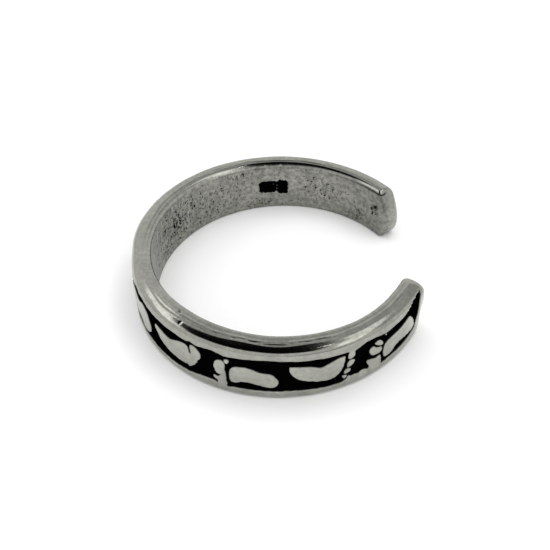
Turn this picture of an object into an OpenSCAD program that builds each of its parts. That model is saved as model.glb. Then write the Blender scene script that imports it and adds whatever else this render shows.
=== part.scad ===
/* [Band] */
// Radius of the round opening that the toe goes through
opening_r = 8; // [6.5:0.1:11]
// Thickness of the metal, from the inner wall to the face of the rims
wall = 1.35; // [1.1:0.05:2]
// Height of the band, along the toe
band_h = 4; // [3.6:0.1:6]
// Angle of the gap between the tips of the two ends, which lies towards +X
gap_angle = 52; // [30:1:90]
// Rounding of the rims along their outer edges
outer_round = 0.45; // [0.1:0.05:0.5]
// Rounding of the rims along their inner edges
inner_round = 0.2; // [0.05:0.05:0.35]
// How far the tip of each end stands out past its corners, seen from the side
end_bow = 0.75; // [0.3:0.05:1.2]
// How far each end's inner and outer edges are rounded back, seen from above
edge_bow = 0.3; // [0.15:0.05:0.4]

/* [Channel] */
// Height of the upper rim, from the top of the band to the channel
upper_rim = 0.62; // [0.5:0.02:0.9]
// Height of the lower rim, from the bottom of the band to the channel
lower_rim = 0.75; // [0.5:0.05:0.9]
// Length of plain metal between each end of the channel and the end of the band
end_rim = 1.35; // [0.6:0.05:1.6]
// Depth of the channel below the face of the rims
channel_depth = 0.4; // [0.2:0.05:0.6]

/* [Footprints] */
// Number of footprints in the channel
foot_count = 10; // [4:1:14]
// Length of a footprint from the heel to the tip of the toes
foot_l = 3.75; // [2.6:0.05:4]
// Width of a footprint across the ball of the sole
foot_w = 1.75; // [1.2:0.05:2]
// Gap between the sole and the toes
toe_gap = 0.14; // [0.08:0.02:0.3]
// How far the tops of the footprints lie below the face of the rims
foot_drop = 0.04; // [0.02:0.01:0.1]

/* [Stamp] */
// Angle of the middle of the stamp round the inner wall
stamp_angle = 90; // [45:1:315]
// Length of the stamped recess
stamp_l = 1.95; // [1:0.05:3]
// Height of the longer field of the recess
stamp_h = 0.95; // [0.5:0.05:1.5]
// Depth of the recess
stamp_depth = 0.15; // [0.05:0.01:0.25]

/* [Hidden] */
$fn = 96;
SILVER = [0.72, 0.72, 0.69];

// Reach of a cut past the face that it leaves through
past = 0.5;
// How far the rounding of the ends' edges starts ahead of the tip, so that the tip itself stays untouched
edge_lead = 0.12;
outer_r = opening_r + wall;
floor_r = outer_r - channel_depth;
channel_h = band_h - upper_rim - lower_rim;
channel_mid = (lower_rim - upper_rim) / 2;
// Angle from the middle of the gap to the start of the channel
channel_start = gap_angle / 2 + arc_angle(end_rim);
channel_angle = 360 - 2 * channel_start;
foot_pitch = channel_angle / foot_count;
// How far a footprint reaches into the metal under the channel
foot_root = wall / 4;

// Parts of a footprint: each a disc at shares of its length and width, with a radius as a share of its width.
// The columns are named by the numbers below, which pick them out of a row.
ALONG = 0;
ACROSS = 1;
RADIUS = 2;
HEEL = [-0.36, 0.05, 0.29];
BALL = [0.09, -0.04, 0.48];
ARCH = [-0.13, 0.62, 0.3];
TOES = [
    [0.4, 0.36, 0.19],
    [0.43, 0.08, 0.15],
    [0.41, -0.14, 0.13],
    [0.37, -0.33, 0.115],
    [0.31, -0.49, 0.1]
];

// Share of a disc's radius at which the straight sides of the sole start
SIDE_SHARE = 0.94;
// Height of the recess's narrow field as a share of the longer one's
TALLER = 1.2;

// Angle that a length takes along the face of the rims
function arc_angle(length) = length / (opening_r + wall) * 180 / PI;
function disc_at(row) = [row[ALONG] * foot_l, row[ACROSS] * foot_w];
function disc_r(row) = row[RADIUS] * foot_w;
// Point just inside the edge of a disc, straight above or below its centre
function disc_side(row, side) = disc_at(row) + [0, side * SIDE_SHARE * disc_r(row)];

module disc(row, grow = 0) {
    translate(disc_at(row)) circle(disc_r(row) + grow);
}

// What is left of a square corner outside a rounding. The corner is at the origin, with the metal towards +X and +Y,
// or towards -X or -Y where the corner is flipped.
module corner_waste(round_r, flip_x = 0, flip_y = 0) {
    mirror([flip_x, 0]) mirror([0, flip_y]) difference() {
        translate([-past, -past]) square(round_r + past);
        translate([round_r, round_r]) circle(round_r);
    }
}

// Waste round the end of a bar, which lies towards +X from its tip at the origin and is rounded to a bowed end
module bow_waste(bow, across) {
    bow_r = bow / 2 + across * across / (8 * bow);
    difference() {
        translate([-past, -across / 2 - past]) square([past + bow_r, across + 2 * past]);
        translate([bow_r, 0]) circle(bow_r);
    }
}

// Section of the band: the wall between its two faces with all four edges rounded
module band_section() {
    difference() {
        translate([opening_r, -band_h / 2]) square([wall, band_h]);
        for (top = [0, 1]) {
            translate([opening_r, (top - 0.5) * band_h]) corner_waste(inner_round, flip_y = top);
            translate([outer_r, (top - 0.5) * band_h]) corner_waste(outer_round, flip_x = 1, flip_y = top);
        }
    }
}

// Bent band, a little longer at both ends than its tips
module open_band() {
    raw_start = gap_angle / 2 - arc_angle(past / 2);
    rotate([0, 0, raw_start]) rotate_extrude(angle = 360 - 2 * raw_start) band_section();
}

// Sunk channel between the rims, which stops short of the ends
module channel() {
    rotate([0, 0, channel_start]) rotate_extrude(angle = channel_angle)
        translate([floor_r, -band_h / 2 + lower_rim]) square([channel_depth + past, channel_h]);
}

// Waste at the end of the band at +Y: past its bow seen from the side, then past its rounded edges seen from above
module end_waste() {
    rotate([0, 0, gap_angle / 2]) {
        translate([opening_r - past, 0, 0])
            rotate([90, 0, 90]) linear_extrude(wall + 2 * past) bow_waste(end_bow, band_h);
        translate([opening_r + wall / 2, -edge_lead, -band_h / 2 - past])
            linear_extrude(band_h + 2 * past) rotate([0, 0, 90]) bow_waste(edge_bow + edge_lead, wall);
    }
}

// Sole of a footprint lying along +X: a heel and a ball joined by straight sides, with the arch cut from one of them
module sole() {
    difference() {
        union() {
            disc(HEEL);
            disc(BALL);
            polygon([disc_side(HEEL, 1), disc_side(BALL, 1), disc_side(BALL, -1), disc_side(HEEL, -1)]);
        }
        disc(ARCH);
    }
}

// Toes, kept clear of the ball of the sole by the gap
module toes() {
    difference() {
        for (toe = TOES) disc(toe);
        disc(BALL, toe_gap);
    }
}

// A footprint as a block that points outwards from inside the metal under the channel
module footprint_block() {
    translate([floor_r - foot_root, 0, 0]) rotate([90, 0, 90]) linear_extrude(foot_root + channel_depth) {
        sole();
        toes();
    }
}

// Footprints turn the other way at every other step
module footprints() {
    intersection() {
        for (i = [0 : foot_count - 1])
            rotate([0, 0, channel_start + (i + 0.5) * foot_pitch])
                translate([0, 0, channel_mid])
                    rotate([180 * (i % 2), 0, 0]) footprint_block();
        cylinder(r = outer_r - foot_drop, h = band_h, center = true);
    }
}

// Stamped recess in the inner wall: a longer field and a taller one beside it, both left plain
module stamp() {
    rotate([0, 0, stamp_angle]) intersection() {
        translate([opening_r - past, 0, 0]) rotate([90, 0, 90]) linear_extrude(past + wall) {
            translate([-stamp_l / 2, -stamp_h / 2]) square([stamp_l, stamp_h]);
            translate([-stamp_l / 2, -stamp_h * TALLER / 2]) square([stamp_h / 3, stamp_h * TALLER]);
        }
        cylinder(r = opening_r + stamp_depth, h = band_h, center = true);
    }
}

module ring_band() {
    color(SILVER) {
        difference() {
            open_band();
            channel();
            end_waste();
            mirror([0, 1, 0]) end_waste();
            stamp();
        }
        footprints();
    }
}

ring_band();
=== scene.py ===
import math
import bpy
import numpy as np
from mathutils import Matrix, Vector


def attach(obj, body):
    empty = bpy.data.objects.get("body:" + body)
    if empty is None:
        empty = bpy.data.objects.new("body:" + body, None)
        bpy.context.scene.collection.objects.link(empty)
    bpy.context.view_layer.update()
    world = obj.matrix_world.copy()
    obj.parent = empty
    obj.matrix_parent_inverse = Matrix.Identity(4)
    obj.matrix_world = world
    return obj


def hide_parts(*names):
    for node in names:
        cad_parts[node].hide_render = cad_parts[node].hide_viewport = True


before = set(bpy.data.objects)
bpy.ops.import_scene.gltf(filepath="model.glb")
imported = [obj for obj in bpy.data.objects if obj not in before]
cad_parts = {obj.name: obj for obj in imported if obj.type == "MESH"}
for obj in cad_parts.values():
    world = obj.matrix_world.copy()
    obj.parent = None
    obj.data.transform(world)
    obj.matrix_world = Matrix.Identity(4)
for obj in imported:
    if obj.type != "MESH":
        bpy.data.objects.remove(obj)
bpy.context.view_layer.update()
mm = 0.001  # the ring is shaped in millimetres and brought down to metres at the end

print("camera")
cameraValues = {
    "elevation": 42.822,  # degrees above the floor
    "turn": -3.5,  # degrees round the ring from its front
    "distance": 54.241,  # mm from the middle of the ring
    "roll": 1.522,
    "lens": 56.227,
    "sensor": 36,
    "near": 0.001,  # metres, nearest and farthest that the camera sees
    "far": 5,
    "shiftX": -0.01238,
    "shiftY": -0.024,
}


def addCamera(values):
    up = math.radians(values["elevation"])
    turn = math.radians(values["turn"])
    back = Vector((math.sin(turn) * math.cos(up), -math.cos(turn) * math.cos(up), math.sin(up)))
    right = Vector((math.cos(turn), math.sin(turn), 0))
    over = back.cross(right)
    roll = math.radians(values["roll"])
    camX = right * math.cos(roll) - over * math.sin(roll)
    camY = right * math.sin(roll) + over * math.cos(roll)
    place = Matrix((camX, camY, back)).transposed().to_4x4()
    place.translation = back * values["distance"] * mm
    data = bpy.data.cameras.new("camera")
    data.lens = values["lens"]
    data.sensor_width = values["sensor"]
    data.shift_x = values["shiftX"]
    data.shift_y = values["shiftY"]
    data.clip_start = values["near"]
    data.clip_end = values["far"]
    cam = bpy.data.objects.new("camera", data)
    cam.matrix_world = place
    bpy.context.scene.collection.objects.link(cam)
    bpy.context.scene.camera = cam


addCamera(cameraValues)

print("ring band")
bandValues = {
    "openingR": 8.0,
    "wall": 1.345,
    "height": 4.0,
    "gap": 52.0,  # degrees between the tips, towards +X
    "thin": 0.116,  # share of the wall that is lost towards the gap
    "low": 0.0896,  # share of the height that is lost towards the gap
    "thickSide": 198.2,  # degrees, where the band is at its fullest
    "shoulder": 0.5,  # rounding of the upper rim's outer edge
    "lowerRound": 0.3,
    "bevel": 0.26,  # chamfer of the upper rim's inner edge
    "bevelRound": 0.07,
    "lowerBevel": 0.15,
    # share of the chamfer's breadth at the front, what the back adds to it, and how late it adds it
    "chamfer": (0.2, 0.77, 1.2),
    "chamferReach": 1,  # mm down the inner wall that make room for it
    "crease": 0.62,  # mm from the inner wall to the fine line along the top
    # fall of the top from the crease, as mm to a mm: inwards at the front, what the back adds, and outwards
    "fall": (0.03, 0.12, 0.15),
    "fallReach": 0.24,  # mm that the outward fall goes on
    # the two ends, at the back and at the front of the photo's view: how far the lower and the upper corner
    # stand back from the tip, the tip's height, the length of the rounding, the share of the wall that stays
    # flat at the tip, and where the tip lies in the wall
    "nearEnd": (1.0, 0.66, -0.25, 0.42, 0.42, 0.5),
    "farEnd": (0.5, 0.52, 0.12, 0.68, 0.36, 0.17),
    "bowReach": 4,  # mm from the tips that the ends' bows fade over
    "tipLow": 0.05,  # share of the height that is lost at the tips
    "rows": 0.9,  # mm from the tips where the rows of points lie closer
    # mm that the inner face stands in: (degrees round, mm)
    "swell": [(-334, 0), (-150, 0), (-135, 0.09), (-118, 0.08), (-100, 0.02), (-62, 0.02), (-50, 0.08),
              (-40, 0.14), (-26, 0.1)],
    # mm that the outer face stands out
    "flare": [(-50, 0), (-38, 0.04), (-32, 0.11), (-26, 0.13)],
    "depth": 0.4,  # mm from the rims' face to the channel
    "footDrop": 0.03,  # mm from the rims' face to the footprints
    "slope": 0.15,  # width of the sloping wall round the channel and the footprints
    # how finely the band is cut: round it, and along each face of its section
    "steps": 800,
    "outerCuts": 53,
    "innerCuts": 31,
    "topCuts": 11,
    "bottomCuts": 3,
}


def selectNone():
    if bpy.context.object and bpy.context.object.mode != "OBJECT":
        bpy.ops.object.mode_set(mode="OBJECT")
    bpy.ops.object.select_all(action="DESELECT")


def pickEdges(obj, test):
    # picks the edges whose middle and direction pass the test, in edit mode
    bpy.ops.mesh.select_all(action="DESELECT")
    bpy.ops.object.mode_set(mode="OBJECT")
    for edge in obj.data.edges:
        a, b = (obj.data.vertices[i].co for i in edge.vertices)
        edge.select = test((a + b) / 2, b - a)
    bpy.ops.object.mode_set(mode="EDIT")


def pickCorners(obj, test):
    bpy.ops.mesh.select_all(action="DESELECT")
    bpy.ops.object.mode_set(mode="OBJECT")
    for vertex in obj.data.vertices:
        vertex.select = test(vertex.co)
    bpy.ops.object.mode_set(mode="EDIT")


def spinBand(v):
    selectNone()
    midR = v["openingR"] + v["wall"] / 2
    close = 0.01  # mm within which a corner counts as at its place
    bpy.ops.mesh.primitive_plane_add(size=1, location=(midR, 0, 0), rotation=(math.pi / 2, 0, 0))
    band = bpy.context.object
    band.name = "ringBand"
    band.scale = (v["wall"], v["height"], 1)
    bpy.ops.object.transform_apply(location=True, rotation=True, scale=True)
    bpy.ops.object.mode_set(mode="EDIT")
    bpy.ops.mesh.select_mode(type="VERT")
    # each corner of the section: outwards or inwards, up or down, its rounding and the cuts in it
    corners = [(1, 1, "shoulder", 9), (1, -1, "lowerRound", 5),
               (-1, 1, "bevel", 1), (-1, -1, "lowerBevel", 3)]
    for side, level, size, segments in corners:
        pickCorners(band, lambda co: (co.x - midR) * side > 0 and co.z * level > v["height"] / 2 - close
                    and abs(abs(co.x - midR) - v["wall"] / 2) < close)
        bpy.ops.mesh.bevel(offset=v[size], segments=segments, affect="VERTICES")
    pickCorners(band, lambda co: co.z > v["height"] / 2 - v["bevel"] - close
                and co.x < v["openingR"] + v["bevel"] + close)
    bpy.ops.mesh.bevel(offset=v["bevelRound"], segments=2, affect="VERTICES")
    bpy.ops.mesh.select_all(action="SELECT")
    bpy.ops.mesh.delete(type="ONLY_FACE")
    bpy.ops.mesh.select_mode(type="EDGE")
    straight = v["height"] / 2  # only the faces' long edges are longer
    pickEdges(band, lambda mid, way: mid.x > midR and abs(way.z) > straight)
    bpy.ops.mesh.subdivide(number_cuts=v["outerCuts"])
    pickEdges(band, lambda mid, way: mid.x < midR and abs(way.z) > straight)
    bpy.ops.mesh.subdivide(number_cuts=v["innerCuts"])
    for level, cuts in ((1, "topCuts"), (-1, "bottomCuts")):
        pickEdges(band, lambda mid, way: mid.z * level > 0 and abs(way.x) > v["wall"] * 0.3)
        bpy.ops.mesh.subdivide(number_cuts=v[cuts])
    bpy.ops.mesh.select_all(action="SELECT")
    bpy.ops.mesh.spin(steps=v["steps"], angle=math.radians(360 - v["gap"]),
                      center=(0, 0, 0), axis=(0, 0, 1))
    bpy.ops.object.mode_set(mode="OBJECT")
    return band


def smoothStep(low, high, x):
    t = np.clip((x - low) / (high - low), 0, 1)
    return t * t * (3 - 2 * t)


# Outlines on the rims' face, drawn as corners of a rounded curve: (degrees round the ring, height),
# where the height runs from -2 at the bottom of the band to 2 at its top, however low the band is there.
footValues = {
    "degree": 0.1632,  # mm of the rim's face to a degree
    "shift": 0.115,  # how much lower all of it lies
    "slant": 0.93,  # how much higher a mm further in looks, as the outlines were drawn from the photo's view
    "trim": 0.03,  # mm that the footprints are smaller than drawn
    "reach": 0.5,  # mm from an outline within which distances to it are worked out
    # the footprints that show in the photo, each as its sole and then its toes
    "own": {
        "right": [
            [(-147, 0.5), (-146.2, 0.75), (-143.8, 0.71), (-141, 0.59), (-138, 0.52), (-135.5, 0.7),
             (-132.5, 0.92), (-130, 0.95), (-128.9, 0.75), (-128.8, 0.2), (-129.3, -0.5), (-130.5, -0.78),
             (-133, -0.8), (-136.5, -0.76), (-140, -0.6), (-143.5, -0.27), (-146, 0.26)],
            [(-128.4, 1.0), (-127, 1.19), (-125.2, 1.03), (-123.8, 0.67), (-124, 0.3), (-125.2, 0.0),
             (-126, -0.3), (-127.5, -0.63), (-129.6, -0.9), (-130, -0.6), (-128.6, 0), (-128.3, 0.6)],
            [(-131, 0.3), (-129, 0.34), (-127, 0.3), (-126.8, -0.3), (-128.6, -0.62), (-131, -0.5)],
        ],
        "middle": [
            [(-111.7, 0.46), (-110, 0.6), (-107, 0.63), (-104.5, 0.53), (-102.5, 0.36), (-100, 0.3),
             (-97.8, 0.22), (-96.5, -0.06), (-95.6, -0.39), (-96.2, -0.76), (-98.5, -0.96), (-101, -0.88),
             (-104, -0.76), (-106.5, -0.68), (-109, -0.71), (-111, -0.88), (-112.7, -0.83),
             (-113.4, -0.39), (-112.9, 0.18)],
            [(-116.3, 0.85), (-118, 0.67), (-119, 0.26), (-118.8, -0.14), (-117.9, -0.42), (-116.5, -0.5),
             (-115.2, -0.2), (-114.6, 0.1), (-114.4, 0.5), (-115, 0.78)],
            [(-115.6, -0.1), (-114.5, 0), (-114.2, -0.8), (-114.4, -1.4), (-117.6, -1.4), (-118, -1.02),
             (-119.3, -0.9), (-119.4, -0.64), (-118.2, -0.66), (-117, -0.6)],
            [(-114.8, 0.95), (-113.3, 1.05), (-112.7, 0.85), (-113.6, 0.6), (-114.6, 0.7)],
        ],
        "model": [
            [(-92, 0.83), (-91.7, 0.3), (-89.5, -0.22), (-86, -0.5), (-82, -0.68), (-78.5, -0.75),
             (-76, -0.66), (-74, -0.39), (-72.5, 0.1), (-71.9, 0.67), (-72.1, 0.98), (-75, 0.95),
             (-78, 0.72), (-81, 0.54), (-84, 0.72), (-88, 0.82), (-91.6, 0.87)],
            [(-70.9, 0.62), (-71, 0.92), (-70.3, 1.3), (-68.2, 1.3), (-68, 0.83), (-69.2, 0.6)],
            [(-70, 0.52), (-68.2, 0.38), (-68.5, 0.1), (-70, -0.11), (-71.3, -0.1), (-71.2, 0.26)],
            [(-71.5, -0.18), (-69.7, -0.28), (-70, -0.55), (-71.9, -0.62), (-72.6, -0.47)],
            [(-73.1, -0.73), (-71.5, -0.7), (-71, -0.88), (-72.5, -1.04)],
            [(-70.9, -0.9), (-70, -0.9), (-69.6, -1.3), (-71.2, -1.3)],
        ],
        "left": [
            [(-55.3, 0.1), (-54.6, 0.34), (-53, 0.5), (-50, 0.6), (-46.5, 0.69), (-43, 0.87), (-41, 0.95),
             (-39.5, 0.72), (-37.5, 0.26), (-36.1, -0.3), (-36, -0.66), (-38, -0.75), (-41, -0.68),
             (-44, -0.6), (-47, -0.55), (-49, -0.63), (-50.5, -0.86), (-53.5, -0.92), (-55.1, -0.8),
             (-55.6, -0.3)],
            [(-60, 0.94), (-58, 1.06), (-56.3, 0.8), (-55.6, 0.48), (-57.1, 0.45), (-59, 0.68)],
            [(-62.2, 0.59), (-60.6, 0.78), (-58.7, 0.5), (-56.3, 0.28), (-56.2, -0.04), (-58, -0.16),
             (-60.5, -0.06), (-62, 0.26)],
            [(-63, -0.24), (-61, -0.3), (-59, -0.42), (-57, -0.38), (-56.2, -0.71), (-56.6, -1.4),
             (-60, -1.4), (-62, -1.04), (-62.2, -0.8), (-63.1, -0.5)],
            [(-55.3, 1.1), (-54.6, 1.28), (-54.2, 1.1)],
            [(-67, -1.4), (-66.5, -1.02), (-65, -0.88), (-63.2, -0.96), (-62.5, -1.4)],
        ],
        "far": [
            [(-152.5, 0.75), (-151.3, 0.25), (-150.5, -0.2), (-151.3, -0.7), (-153.5, -1), (-157, -1.12),
             (-161, -0.85), (-166, -0.8), (-169.5, -0.5), (-170, 0.3), (-168.5, 0.9), (-164, 0.85),
             (-160, 0.75), (-156, 1.05)],
        ],
    },
    "modelMiddle": -80.2,  # degrees round
    # copies of the model foot: degrees round, 1 as drawn or -1 turned half round, and the first outline
    # that is copied
    "copies": [(-161.8, -1, 1), (-191.4, 1, 0), (-221.0, -1, 0), (-250.6, 1, 0), (-280.2, -1, 0),
               (-309.8, 1, 0)],
    # where the channel stops short of both ends: (height, degrees round)
    "end": [(-2.0, -37.0), (-0.9, -35.0), (-0.14, -33.0), (1.0, -33.7), (1.6, -33.6), (2.03, -32.4),
            (2.6, -32)],
    # the channel's upper and lower edge: (degrees round, height)
    "upper": [(-360, 1.45), (-326, 1.6), (-316, 1.38), (-185, 1.4), (-160, 1.7), (-155, 1.6),
              (-148, 1.46), (-140, 1.36), (-129, 1.32), (-128, 1.44), (-125, 1.3), (-119, 1.46),
              (-114, 1.26), (-100, 1.43), (-90, 1.33), (-72, 1.24), (-68, 1.18), (-64, 1.47), (-60, 1.5),
              (-55, 1.28), (-49, 1.42), (-46, 1.5), (-44, 1.58), (-42, 1.68), (-40.5, 1.77),
              (-38.8, 1.88), (-36.5, 1.97), (-34, 2.02), (-32, 2.08), (-30, 2.2)],
    "lower": [(-360, -1.22), (-152, -1.33), (-140, -1.39), (-130, -1.37), (-125, -1.18), (-119, -1.15),
              (-116, -1.42), (-112, -1.3), (-92, -1.23), (-80, -1.32), (-73, -1.29), (-70, -0.98),
              (-62, -1.05), (-56, -1.27), (-45, -1.18), (-40, -1.13), (-35, -0.95)],
}


def roundedCurve(corners, parts=6):
    # closed curve through the corners
    points = np.array(corners, float)
    before, after, beyond = np.roll(points, 1, 0), np.roll(points, -1, 0), np.roll(points, -2, 0)
    out = []
    for i in range(parts):
        t = i / parts
        out.append(0.5 * (2 * points + (after - before) * t
                          + (2 * before - 5 * points + 4 * after - beyond) * t ** 2
                          + (3 * points - before - 3 * after + beyond) * t ** 3))
    return np.stack(out, axis=1).reshape(-1, 2)


farOff = 9.0  # mm, more than any distance that matters


def curveDistance(x, y, curve, reach):
    # distance to a closed curve, less than zero inside it, worked out only near it
    out = np.full(x.shape, reach)
    low, high = curve.min(0) - reach, curve.max(0) + reach
    near = np.nonzero((x > low[0]) & (x < high[0]) & (y > low[1]) & (y < high[1]))[0]
    if len(near) == 0:
        return out
    px, py = x[near], y[near]
    best = np.full(px.shape, farOff)
    within = np.zeros(px.shape, bool)
    for (ax, ay), (bx, by) in zip(curve, np.roll(curve, -1, 0)):
        dx, dy = bx - ax, by - ay
        t = np.clip(((px - ax) * dx + (py - ay) * dy) / max(dx * dx + dy * dy, 1e-12), 0, 1)
        best = np.minimum(best, (px - ax - t * dx) ** 2 + (py - ay - t * dy) ** 2)
        if ay != by:
            within ^= ((ay > py) != (by > py)) & (px < (py - ay) * dx / dy + ax)
    out[near] = np.where(within, -1, 1) * np.sqrt(best)
    return out


def footprints(arc, level):
    v = footValues
    found = np.full(arc.shape, v["reach"])
    shapes = [shape for foot in v["own"].values() for shape in foot]
    for middle, turn, first in v["copies"]:
        for shape in v["own"]["model"][first:]:
            shapes.append([(middle + turn * (deg - v["modelMiddle"]), turn * up) for deg, up in shape])
    for shape in shapes:
        curve = roundedCurve(shape) * (v["degree"], 1)
        found = np.minimum(found, curveDistance(arc, level, curve, v["reach"]))
    return found


# The stamp on the inner wall, left plain
stampValues = {
    # sunk fields: first degree, last degree, mm below and mm above the middle
    "fields": [(82.6, 87.8, -0.6, 0.57), (88.2, 96.7, -0.43, 0.5)],
    "specks": [(88.0, 0.1, 0.06), (89.7, 0.27, 0.055)],  # where the metal still stands: degrees, height, mm
    "corner": 0.17,  # rounding of the fields' corners
    "depth": 0.13,
}

# Worn places: pitted patches of the inner wall as (degrees, mm up, degrees wide, mm high, strength),
# and dents as (degrees, mm from the axis, mm up, mm across, mm deep)
wearValues = {
    "seed": 11,
    "pits": 900,
    "pitSize": (0.026, 0.055),  # mm, the smallest and the largest
    "pitDepth": 0.035,
    "pitTurn": (1.25, 0.5),  # radians that pits lean, and how much that varies
    "pitLong": (1, 3.2),  # how much longer than wide
    "plainShare": 0.035,  # how likely a pit is where the wall isn't pitted
    "flat": (181, 11, 0.13),  # outer edge worn on the left: degrees round, degrees wide, mm deep
    "grooveSize": (0.05, 0.035),  # the groove along the crease: mm wide to each side, mm deep
    "grooveIn": 0.03,  # mm that the groove lies inside the crease
    # how dark the painted shade in the groove is
    "grooveShade": 0.75,
    "polishing": (0.3, 0.006),  # faint lines along the top: mm apart, mm deep
    "chamferShade": (0.03, 0.06),  # painted shade line under the chamfer: mm down, mm wide to each side
    # how light the silver is: what the footprints gain and the inner wall loses, and what the wall loses
    # once more at the back end, at which degree and how many degrees wide
    "footTone": 0.2,
    "wallTone": 0.16,
    "endTone": (0.16, 26, 28),
    # uneven edges and faces: how far they wander (mm, but radians for the polishing lines), over how many mm,
    # and the seed
    "waves": {
        "groove": (0.035, 2.5, 17),
        "polishing": (1.2, 6, 23),
        "upperEdge": (0.015, 1.2, 3),
        "lowerEdge": (0.02, 0.8, 5),
        "footEdge": (0.012, 0.45, 7),
        "stampEdge": (0.03, 0.4, 9),
        "face": (0.008, 3.0, 13),
    },
    # strength of the top's groove, both its depth and its painted shade, and of the painted shade line along
    # the edge of the inner wall:
    # (degrees round, share)
    "groove": [(-360, 0.3), (-250, 0.5), (-225, 0.2), (-160, 0.3), (-137, 0.2), (-134, 1.0), (-100, 0.6),
               (-78, 1.0), (-74, 0.2), (-70, 0.8), (-62, 0.3), (-50, 0.7), (-46, 1.0), (-40, 0.9),
               (-37, 0)],
    "edgeShadeLine": [(-334, 1.0), (-322, 0.9), (-300, 0.25), (-285, 0), (-240, 0), (-222, 0.3), (-150, 0.35),
                 (-140, 0)],
    "patches": [(148, 0.1, 22, 1.6, 1.0), (124, -0.2, 12, 1.2, 0.7), (108, 1.45, 9, 0.25, 0.9),
                (64, 0.1, 11, 0.9, 0.55), (96, -1.25, 4, 0.3, 0.8), (45, -0.9, 6, 0.6, 0.6),
                (35, 0.1, 3, 0.3, 1.0), (78, 1.3, 20, 0.4, 0.3), (110, -0.4, 12, 1.2, 0.3)],
    "dents": [(-137.5, 8.4, 1.95, 0.09, 0.04), (-133.6, 8.95, 1.92, 0.06, 0.03),
              (152.0, 9.0, 1.75, 0.12, 0.04), (34.5, 8.0, 0.2, 0.2, 0.1),
              (36.5, 8.0, -0.1, 0.16, 0.07), (33.2, 8.0, 0.35, 0.12, 0.05)],
}


def boxDistance(x, y, low, high, corner):
    midX, midY = (low[0] + high[0]) / 2, (low[1] + high[1]) / 2
    dx = np.abs(x - midX) - (high[0] - low[0]) / 2 + corner
    dy = np.abs(y - midY) - (high[1] - low[1]) / 2 + corner
    return np.hypot(np.maximum(dx, 0), np.maximum(dy, 0)) + np.minimum(np.maximum(dx, dy), 0) - corner


def ripple(x, y, name):
    # smooth uneven waves, a sum of six that run different ways
    high, size, seed = wearValues["waves"][name]
    rng = np.random.default_rng(seed)
    out = 0
    for i in range(6):
        turn = rng.uniform(0, math.pi)
        wave = rng.uniform(0.7, 2.2) / size
        run = (x * math.cos(turn) + y * math.sin(turn)) * wave * 2 * math.pi
        out = out + np.sin(run + rng.uniform(0, 6.3))
    return high * (out / 3)


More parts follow.
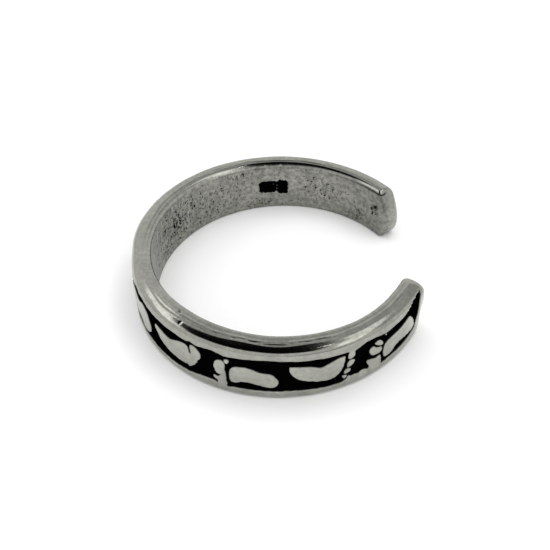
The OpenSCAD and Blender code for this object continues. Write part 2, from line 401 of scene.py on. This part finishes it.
def shapeBand(band, v):
    mesh = band.data
    count = len(mesh.vertices)
    co = np.zeros(count * 3)
    mesh.vertices.foreach_get("co", co)
    co = co.reshape(-1, 3)
    # degrees from the start of the spin, which turns clockwise
    turned = -np.degrees(np.arctan2(co[:, 1], co[:, 0]))
    turned = np.where(turned < -1, turned + 360, turned)
    r = np.hypot(co[:, 0], co[:, 1])
    z = co[:, 2].copy()
    half = v["height"] / 2
    inner = v["openingR"]
    faceR = inner + v["wall"]
    midR = inner + v["wall"] / 2
    toMm = math.radians(1) * faceR
    whole = 360 - v["gap"]
    far = turned > whole / 2
    along = np.where(far, whole - turned, turned) * toMm  # mm from the nearer tip

    # how far round the section a point lies, for the UV map
    outside = r > midR
    lap = np.where(np.abs(z) > half - 0.001, np.sign(z) * (half + faceR - r),
                   np.where(outside, z, np.sign(z) * (2 * half + v["wall"] - np.abs(z))))

    # the inner chamfer is broader at the back than at the front
    behind = (1 + np.sin(np.radians(turned + v["gap"] / 2))) / 2
    atFront, addedBehind, late = v["chamfer"]
    share = atFront + addedBehind * behind ** late
    full, ridge, reach = v["bevel"], v["crease"], v["chamferReach"]
    inward, down = r - inner, half - z
    upper = (r < inner + ridge) & (z > 0)
    nearer = np.where(inward < full, inward * share,
                      full * share + (inward - full) * (ridge - full * share) / (ridge - full))
    higher = np.where(down < full, down * share,
                      full * share + (down - full) * (reach - full * share) / (reach - full))
    r = np.where(upper, inner + nearer, r)
    z = np.where(upper & (down < reach), half - higher, z)

    # a soft ridge along the top
    aside = r - inner - ridge
    atFront, addedBehind, outward = v["fall"]
    fall = np.where(aside < 0, -aside * (atFront + addedBehind * behind),
                    np.minimum(aside, v["fallReach"]) * outward)
    z = z - fall * smoothStep(half - 1.5, half - 0.6, z)

    # a fine groove along the crease, with painted shade along it
    rest = turned + v["gap"] / 2 - 360  # degrees round, as the tables count them
    wide, deep = wearValues["grooveSize"]
    swing = ripple(rest * toMm, 0 * rest, "groove")
    offLine = np.abs(r - inner - ridge + wearValues["grooveIn"] - swing) / wide
    cut = np.clip(1 - offLine, 0, 1) * (z > half - 0.4)
    cut = cut * np.interp(rest, *zip(*wearValues["groove"]))
    z = z - deep * cut
    # faint lines left by polishing
    apart, deep = wearValues["polishing"]
    lines = np.sin(2 * math.pi * (r - inner) / apart + ripple(rest * toMm, 0 * rest, "polishing"))
    z = z - (deep * lines * smoothStep(0.25, 0.4, r - inner) * smoothStep(1.2, 1.0, r - inner)
             * (z > half - 0.3))
    # a painted shade line where the chamfer meets the inner wall
    under, wide = wearValues["chamferShade"]
    edgeShadeLine = np.exp(-((down - full * share - under) / wide) ** 2) * (r < inner + 0.08) * (z > 0)
    edgeShadeLine = edgeShadeLine * np.interp(rest, *zip(*wearValues["edgeShadeLine"]))

    # closer rows of points near the tips
    lead = v["rows"]
    fromTip = np.where(along < lead, lead * (1 - np.cos(math.pi / 2 * along / lead)), along)

    # the ends are bowed, seen from the side
    both = (np.where(far, *pair) for pair in zip(v["farEnd"], v["nearEnd"]))
    lowBow, highBow, tipAt, rounding, core, middle = both
    share = z / half - tipAt
    bow = np.where(share < 0, lowBow, highBow) * share ** 2
    fade = np.clip(1 - fromTip / v["bowReach"], 0, 1) ** 2
    along = fromTip + bow * fade

    # the wall's thickness rounds off towards the tips
    near = np.clip(fromTip / rounding, 0, 1)
    thick = core + (1 - core) * np.sqrt(1 - (1 - near) ** 2)
    noseR = inner + middle * v["wall"]
    r = noseR + (r - noseR) * thick
    z = z * (1 - v["tipLow"] * (1 - near) ** 2)
    angle = np.where(far, 360 - v["gap"] / 2 - along / toMm, v["gap"] / 2 + along / toMm)

    # the band thins and gets lower towards the gap
    k = (1 - np.cos(np.radians(angle - v["thickSide"]))) / 2
    topZ = -half + v["height"] * (1 - v["low"] * k)
    z = -half + (z + half) * (topZ + half) / v["height"]
    r = inner + (r - inner) * (1 - v["thin"] * k)

    # the inner face stands in a little along the front, and the outer face stands out at the far end
    degrees = angle - 360  # as the tables count them
    swell, flare = (np.interp(degrees, *zip(*v[name])) for name in ("swell", "flare"))
    outwards = np.clip((r - inner) / v["wall"], 0, 1)
    r = r - swell * (1 - outwards) + flare * outwards * smoothStep(-0.9, 0.7, z)

    # worn flat on the left
    at, wide, deep = wearValues["flat"]
    worn = np.exp(-((angle - at) / wide) ** 2) * smoothStep(midR, midR + 0.5, r) * smoothStep(0.6, 1.3, z)
    r = r - deep * worn

    # channel and footprints on the outer face
    degree = footValues["degree"]
    arc = degrees * degree
    level = (z + half) / (topZ + half) * 4 - 2 + footValues["shift"]
    furtherIn = np.maximum(inner + (faceR - inner) * (1 - v["thin"] * k) - r, 0)
    seen = level + footValues["slant"] * furtherIn * (z > 0)
    upper = np.interp(degrees, *zip(*footValues["upper"])) + ripple(arc, 0 * arc, "upperEdge")
    lower = np.interp(degrees, *zip(*footValues["lower"])) + ripple(arc, 0 * arc, "lowerEdge")
    limit = np.interp(seen, *zip(*footValues["end"]))
    ends = np.where(far, limit - degrees, degrees + 360 + limit) * degree
    inside = np.minimum(np.minimum(upper - seen, level - lower), ends)
    feet = footprints(arc, level) + footValues["trim"] + ripple(arc, level, "footEdge")
    dist = np.minimum(inside, feet)
    outer = smoothStep(inner + 0.35, inner + 0.65, r)
    sunk = smoothStep(-0.02, v["slope"] - 0.02, dist) * outer
    r = r - v["depth"] * sunk
    onFoot = outer * smoothStep(0.02, -0.1, feet) * smoothStep(0, 0.1, inside)
    r = r - v["footDrop"] * onFoot

    # stamp on the inner wall
    innerDegree = math.radians(1) * inner  # mm of the inner wall to a degree
    innerArc = angle * innerDegree
    wall = smoothStep(midR, inner + 0.1, r) * smoothStep(topZ - 0.12, topZ - 0.34, z)
    stamp = np.full(count, farOff)
    for first, last, low, high in stampValues["fields"]:
        box = (first * innerDegree, low), (last * innerDegree, high)
        stamp = np.minimum(stamp, boxDistance(innerArc, level, *box, stampValues["corner"]))
    for at, up, size in stampValues["specks"]:
        stamp = np.maximum(stamp, size - np.hypot(innerArc - at * innerDegree, level - up))
    stamp = stamp + ripple(innerArc, z, "stampEdge")
    stamped = smoothStep(0.04, -0.08, stamp) * wall
    r = r + stampValues["depth"] * stamped

    # pits, more of them in the pitted patches
    pitted = np.zeros(count)
    for at, up, wide, high, strength in wearValues["patches"]:
        offPatch = ((angle - at) / wide) ** 2 + ((level - up) / high) ** 2
        pitted = np.maximum(pitted, strength * np.exp(-offPatch))
    pitted = pitted * wall
    rng = np.random.default_rng(wearValues["seed"])
    rows = np.nonzero(wall > 0.99)[0]
    grime = np.zeros(len(rows))
    wallArc, wallZ, share = innerArc[rows], z[rows], pitted[rows]
    chance = share + wearValues["plainShare"]
    chance = chance / chance.sum()
    picks = rng.choice(len(rows), size=wearValues["pits"], p=chance)
    for pick in picks:
        size = rng.uniform(*wearValues["pitSize"])
        turn = rng.normal(*wearValues["pitTurn"])
        longer = rng.uniform(*wearValues["pitLong"])
        dx, dz = wallArc - wallArc[pick], wallZ - wallZ[pick]
        a = (dx * math.cos(turn) + dz * math.sin(turn)) / longer
        b = -dx * math.sin(turn) + dz * math.cos(turn)
        grime = np.maximum(grime, rng.uniform(0.5, 1) * np.exp(-(a * a + b * b) / (size * size)))
    r[rows] += wearValues["pitDepth"] * grime
    # dark marks on the metal: painted shade in the groove, along the chamfer's edge and in the dents, and the
    # real pits
    grimeAndShade = np.maximum(wearValues["grooveShade"] * cut, edgeShadeLine)
    grimeAndShade[rows] = np.maximum(grimeAndShade[rows], grime)

    # dents, pushed in towards the middle of the metal, with painted shade in their middles
    rad = np.radians(angle)
    co = np.stack([r * np.cos(rad), r * np.sin(rad), z], axis=1)
    for at, atR, atZ, across, deep in wearValues["dents"]:
        cosine, sine = math.cos(math.radians(at)), math.sin(math.radians(at))
        spot = np.array([atR * cosine, atR * sine, atZ])
        core = np.array([midR * cosine, midR * sine, 0.6 * atZ])
        push = (core - spot) / np.linalg.norm(core - spot)
        weight = np.exp(-((co - spot) ** 2).sum(axis=1) / across ** 2)
        co = co + weight[:, None] * deep * push
        # painted shade in the dent
        grimeAndShade = np.maximum(grimeAndShade, weight * (weight > 0.3))

    # the outer face waves a little
    wave = ripple(arc, lap, "face") * (1 - sunk)
    co[:, 0] += wave * np.cos(rad) * np.where(outside, -1, 0)
    co[:, 1] += wave * np.sin(rad) * np.where(outside, -1, 0)
    mesh.vertices.foreach_set("co", co.astype(np.float32).ravel())

    # how light the silver is
    lost, at, wide = wearValues["endTone"]
    backEnd = np.exp(-((angle - at) / wide) ** 2)
    tone = (1 + wearValues["footTone"] * smoothStep(0.02, -0.1, feet) * outer - wearValues["wallTone"] * wall
            - lost * backEnd * smoothStep(midR, inner, r))
    values = {"sunk": np.maximum(sunk, stamped), "pitted": pitted, "grimeAndShade": grimeAndShade, "wall": wall, "tone": tone}
    for name, value in values.items():
        mesh.attributes.new(name, "FLOAT", "POINT").data.foreach_set("value", value.astype(np.float32))
    mesh.update()
    return np.stack([arc, lap], axis=1) / 20


def closeBand(band, flat):
    selectNone()
    bpy.context.view_layer.objects.active = band
    band.select_set(True)
    bpy.ops.object.mode_set(mode="EDIT")
    bpy.ops.mesh.select_mode(type="VERT")
    bpy.ops.mesh.select_all(action="SELECT")
    bpy.ops.mesh.fill_holes(sides=0)
    bpy.ops.mesh.select_all(action="SELECT")
    bpy.ops.mesh.normals_make_consistent(inside=False)
    bpy.ops.mesh.quads_convert_to_tris(quad_method="BEAUTY", ngon_method="BEAUTY")
    bpy.ops.object.mode_set(mode="OBJECT")
    corners = np.zeros(len(band.data.loops), np.int32)
    band.data.loops.foreach_get("vertex_index", corners)
    layer = band.data.uv_layers.new(name="roundTheBand")
    layer.data.foreach_set("uv", flat[corners].astype(np.float32).ravel())
    bpy.ops.object.shade_smooth()
    band.scale = (mm, mm, mm)
    bpy.ops.object.transform_apply(location=True, rotation=True, scale=True)


band = spinBand(bandValues)
flatPlaces = shapeBand(band, bandValues)
closeBand(band, flatPlaces)
print("band has", len(band.data.polygons), "faces")

print("materials")
silverValues = {
    "bright": (0.372, 0.375, 0.336, 1),
    "dull": (0.288, 0.29, 0.26, 1),
    "black": (0.0012, 0.0012, 0.0015, 1),
    "polish": 0.09,  # roughness of the rims
    "worn": 0.34,  # roughness of the inner wall
    # how fine each pattern is: a larger number is finer
    "cloud": 700,
    "grain": 9000,
    "streak": 8,
    "spots": 5200,
    "strokes": 7600,
    "rubbed": 3600,
    # the noise above which a pit or a stroke shows, on plain metal and in the pitted patches
    "spotFrom": (0.67, 0.575),
    "strokeFrom": (0.69, 0.55),
    "rub": (-0.28, 0.24),  # how much darker and lighter the rubbing makes the inner wall
    "bumpDepth": 0.00002,  # metres
    "bump": 0.5,
}


def mathNode(tree, kind, a, b):
    # a sum, product or the like of two numbers or sockets
    node = tree.nodes.new("ShaderNodeMath")
    node.operation = kind
    for socket, value in zip(node.inputs, (a, b)):
        if isinstance(value, (int, float)):
            socket.default_value = value
        else:
            tree.links.new(value, socket)
    return node.outputs["Value"]


def silverMaterial(v):
    mat = bpy.data.materials.new("wornSilver")
    mat.use_nodes = True
    nodes, links = mat.node_tree.nodes, mat.node_tree.links
    shader = nodes["Principled BSDF"]
    place = nodes.new("ShaderNodeTexCoord")

    def attribute(name):
        node = nodes.new("ShaderNodeAttribute")
        node.attribute_name = name
        return node.outputs["Fac"]

    def noise(scale, detail, source="Object", stretch=None, rough=0.5, lean=0):
        node = nodes.new("ShaderNodeTexNoise")
        node.inputs["Scale"].default_value = scale
        node.inputs["Detail"].default_value = detail
        node.inputs["Roughness"].default_value = rough
        out = place.outputs[source]
        if stretch:
            mapping = nodes.new("ShaderNodeMapping")
            if lean:
                # turned before it is stretched
                mapping.vector_type = "TEXTURE"
                mapping.inputs["Rotation"].default_value = (0, lean, 0)
                node.inputs["Distortion"].default_value = 0.7
            mapping.inputs["Scale"].default_value = stretch
            links.new(out, mapping.inputs["Vector"])
            out = mapping.outputs["Vector"]
        links.new(out, node.inputs["Vector"])
        return node.outputs["Fac"]

    def ramp(value, low, high, toLow=0.0, toHigh=1.0):
        node = nodes.new("ShaderNodeMapRange")
        for name, number in (("From Min", low), ("From Max", high), ("To Min", toLow), ("To Max", toHigh)):
            node.inputs[name].default_value = number
        links.new(value, node.inputs["Value"])
        return node.outputs["Result"]

    def combine(kind, a, b):
        return mathNode(mat.node_tree, kind, a, b)

    def mixColour(factor, a, b):
        node = nodes.new("ShaderNodeMix")
        node.data_type = "RGBA"
        links.new(factor, node.inputs["Factor"])
        for name, value in (("A", a), ("B", b)):
            if isinstance(value, tuple):
                node.inputs[name].default_value = value
            else:
                links.new(value, node.inputs[name])
        return node.outputs["Result"]

    sunk, pitted, grimeAndShade, wall, tone = (attribute(name) for name in ("sunk", "pitted", "grimeAndShade", "wall", "tone"))
    cloud = noise(v["cloud"], 5)
    grain = noise(v["grain"], 3)
    streak = noise(v["streak"], 4, "UV", (3, 90, 1))
    # small dark pits and short leaning strokes, more of them where the wall is pitted
    spots = noise(v["spots"], 2.5, rough=0.6)
    speck = ramp(combine("SUBTRACT", spots, ramp(pitted, 0, 1, *v["spotFrom"])), 0, 0.05)
    strokes = noise(v["strokes"], 2.5, stretch=(1, 1, 2.4), lean=0.35)
    stroke = ramp(combine("SUBTRACT", strokes, ramp(pitted, 0, 1, *v["strokeFrom"])), 0, 0.04)
    speck = combine("MULTIPLY", combine("MAXIMUM", speck, stroke), wall)
    # black: pits and strokes, the painted shade lines and dents, the sunk channel and the stamp
    dark = combine("MAXIMUM", combine("MAXIMUM", speck, ramp(grimeAndShade, 0.2, 0.9)), ramp(sunk, 0.04, 0.16))
    rubbed = ramp(noise(v["rubbed"], 3), 0.36, 0.64, *v["rub"])
    rubbed = combine("MULTIPLY", rubbed, ramp(wall, 0, 1, 0.3, 1))
    tone = combine("MULTIPLY", tone, combine("ADD", rubbed, 1))
    mottle = combine("ADD", ramp(cloud, 0.35, 0.65, 0, 0.6), ramp(grain, 0.3, 0.7, 0, 0.4))
    silver = mixColour(mottle, v["dull"], v["bright"])
    toned = nodes.new("ShaderNodeVectorMath")
    toned.operation = "SCALE"
    links.new(silver, toned.inputs[0])
    links.new(tone, toned.inputs["Scale"])
    silver = toned.outputs["Vector"]
    links.new(mixColour(dark, silver, v["black"]), shader.inputs["Base Color"])
    rough = combine("ADD", ramp(wall, 0, 1, v["polish"], v["worn"]), ramp(streak, 0.3, 0.7, -0.03, 0.08))
    rough = combine("MAXIMUM", rough, ramp(dark, 0, 1, 0, 0.5))
    links.new(rough, shader.inputs["Roughness"])
    bump = nodes.new("ShaderNodeBump")
    bump.inputs["Distance"].default_value = v["bumpDepth"]
    bump.inputs["Strength"].default_value = v["bump"]
    grainy = combine("MULTIPLY", grain, ramp(wall, 0, 1, 0.15, 0.6))
    height = combine("ADD", ramp(streak, 0, 1, 0, 0.5), grainy)
    links.new(combine("SUBTRACT", height, speck), bump.inputs["Height"])
    links.new(bump.outputs["Normal"], shader.inputs["Normal"])
    # the blackened metal neither mirrors nor shines
    links.new(ramp(dark, 0.5, 1, 1, 0), shader.inputs["Metallic"])
    shader.inputs["Specular IOR Level"].default_value = 0
    return mat


band.data.materials.clear()
band.data.materials.append(silverMaterial(silverValues))
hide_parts("ring_band")
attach(band, "root")

print("floor and light")
stageValues = {
    "floorZ": -2.0,
    "floorSize": 3000,
    "colour": (0.94, 0.94, 0.94, 1),
    "rough": 0.9,
    "shine": 0.1,
}


def addFloor(values):
    selectNone()
    bpy.ops.mesh.primitive_plane_add(size=values["floorSize"] * mm, location=(0, 0, values["floorZ"] * mm))
    floor = bpy.context.object
    floor.name = "floor"
    bpy.ops.object.transform_apply(location=True, rotation=True, scale=True)
    mat = bpy.data.materials.new("paleFloor")
    mat.use_nodes = True
    shader = mat.node_tree.nodes["Principled BSDF"]
    shader.inputs["Base Color"].default_value = values["colour"]
    shader.inputs["Roughness"].default_value = values["rough"]
    shader.inputs["Specular IOR Level"].default_value = values["shine"]
    floor.data.materials.append(mat)


# The directions below are pairs of degrees: round the ring, and up from the floor
lightValues = {
    # long soft boxes: name, direction of each end, mm wide, brightness
    "strips": [("softLeft", (117, 51), (-173, 31), 38, 1.0), ("softRight", (52, 59), (-52, 27), 40, 1.08),
               ("glint", (-30, 72), (-18, 71), 6, 12.0)],
    "away": 170,  # mm to the soft boxes
    # the broad light overhead, which polished metal doesn't mirror: direction of each end, mm wide,
    # brightness
    "fill": ((-90, 60), (90, 60), 200, 1.85),
    "tent": 0.96,  # brightness of the pale tent all round
    # what breaks the tent: the share of its light lost, then the corners one by one
    "patches": [
        # the dark opening overhead, where the photographer stands
        (0.997, [(127, 56.5), (72, 60.5), (-64, 42), (-90, 41), (-127, 45), (-165, 40.5)]),
        # dimmer cloth beside it, and low down behind the ring
        (0.36, [(116, 53), (92, 43), (55, 33), (20, 30), (-13, 37), (-30, 68)]),
        (0.35, [(132, 9), (112, 27), (98, 12), (96, -12), (132, -12)]),
    ],
    "soft": 0.035,  # half the width of the patches' blurred edges
}


def pointTo(around, up):
    around, up = math.radians(around), math.radians(up)
    return Vector((math.cos(around) * math.cos(up), math.sin(around) * math.cos(up), math.sin(up)))


def addBox(name, first, last, wide, away, bright):
    # a rectangular light that reaches from the first direction to the last and faces the ring
    a, b = pointTo(*first), pointTo(*last)
    out = (a + b).normalized()
    length = (b - a).normalized()
    length = (length - out * length.dot(out)).normalized()
    data = bpy.data.lights.new(name, "AREA")
    data.shape = "RECTANGLE"
    data.size, data.size_y = 2 * away * math.tan(a.angle(b) / 2) * mm, wide * mm
    data.energy = bright * math.pi * data.size * data.size_y
    lamp = bpy.data.objects.new(name, data)
    lamp.matrix_world = Matrix((length, out.cross(length), out)).transposed().to_4x4()
    lamp.location = out * away * mm
    bpy.context.scene.collection.objects.link(lamp)
    return lamp


def addLights(values):
    for name, first, last, wide, bright in values["strips"]:
        addBox(name, first, last, wide, values["away"], bright)
    first, last, wide, bright = values["fill"]
    fill = addBox("fill", first, last, wide, values["away"], bright)
    fill.visible_glossy = False
    world = bpy.data.worlds.new("lightTent")
    bpy.context.scene.world = world
    world.use_nodes = True
    nodes, links = world.node_tree.nodes, world.node_tree.links
    way = nodes.new("ShaderNodeTexCoord")

    soft = values["soft"]

    def facing(direction):
        # 1 for rays on the direction's side of the ring and 0 on the other, with a soft edge between
        dot = nodes.new("ShaderNodeVectorMath")
        dot.operation = "DOT_PRODUCT"
        dot.inputs[1].default_value = direction
        links.new(way.outputs["Generated"], dot.inputs[0])
        shade = nodes.new("ShaderNodeMapRange")
        shade.interpolation_type = "SMOOTHSTEP"
        shade.inputs["From Min"].default_value = -soft
        shade.inputs["From Max"].default_value = soft
        links.new(dot.outputs["Value"], shade.inputs["Value"])
        return shade.outputs["Result"]

    tent = values["tent"]
    for lost, places in values["patches"]:
        corners = [pointTo(*place) for place in places]
        patch = lost
        for a, b in zip(corners, corners[1:] + corners[:1]):
            patch = mathNode(world.node_tree, "MULTIPLY", facing(b.cross(a).normalized()), patch)
        kept = mathNode(world.node_tree, "SUBTRACT", 1, patch)
        tent = mathNode(world.node_tree, "MULTIPLY", kept, tent)
    background = nodes["Background"]
    background.inputs["Color"].default_value = (1, 1, 1, 1)
    links.new(tent, background.inputs["Strength"])


addFloor(stageValues)
addLights(lightValues)
bpy.context.scene.view_settings.view_transform = "Standard"
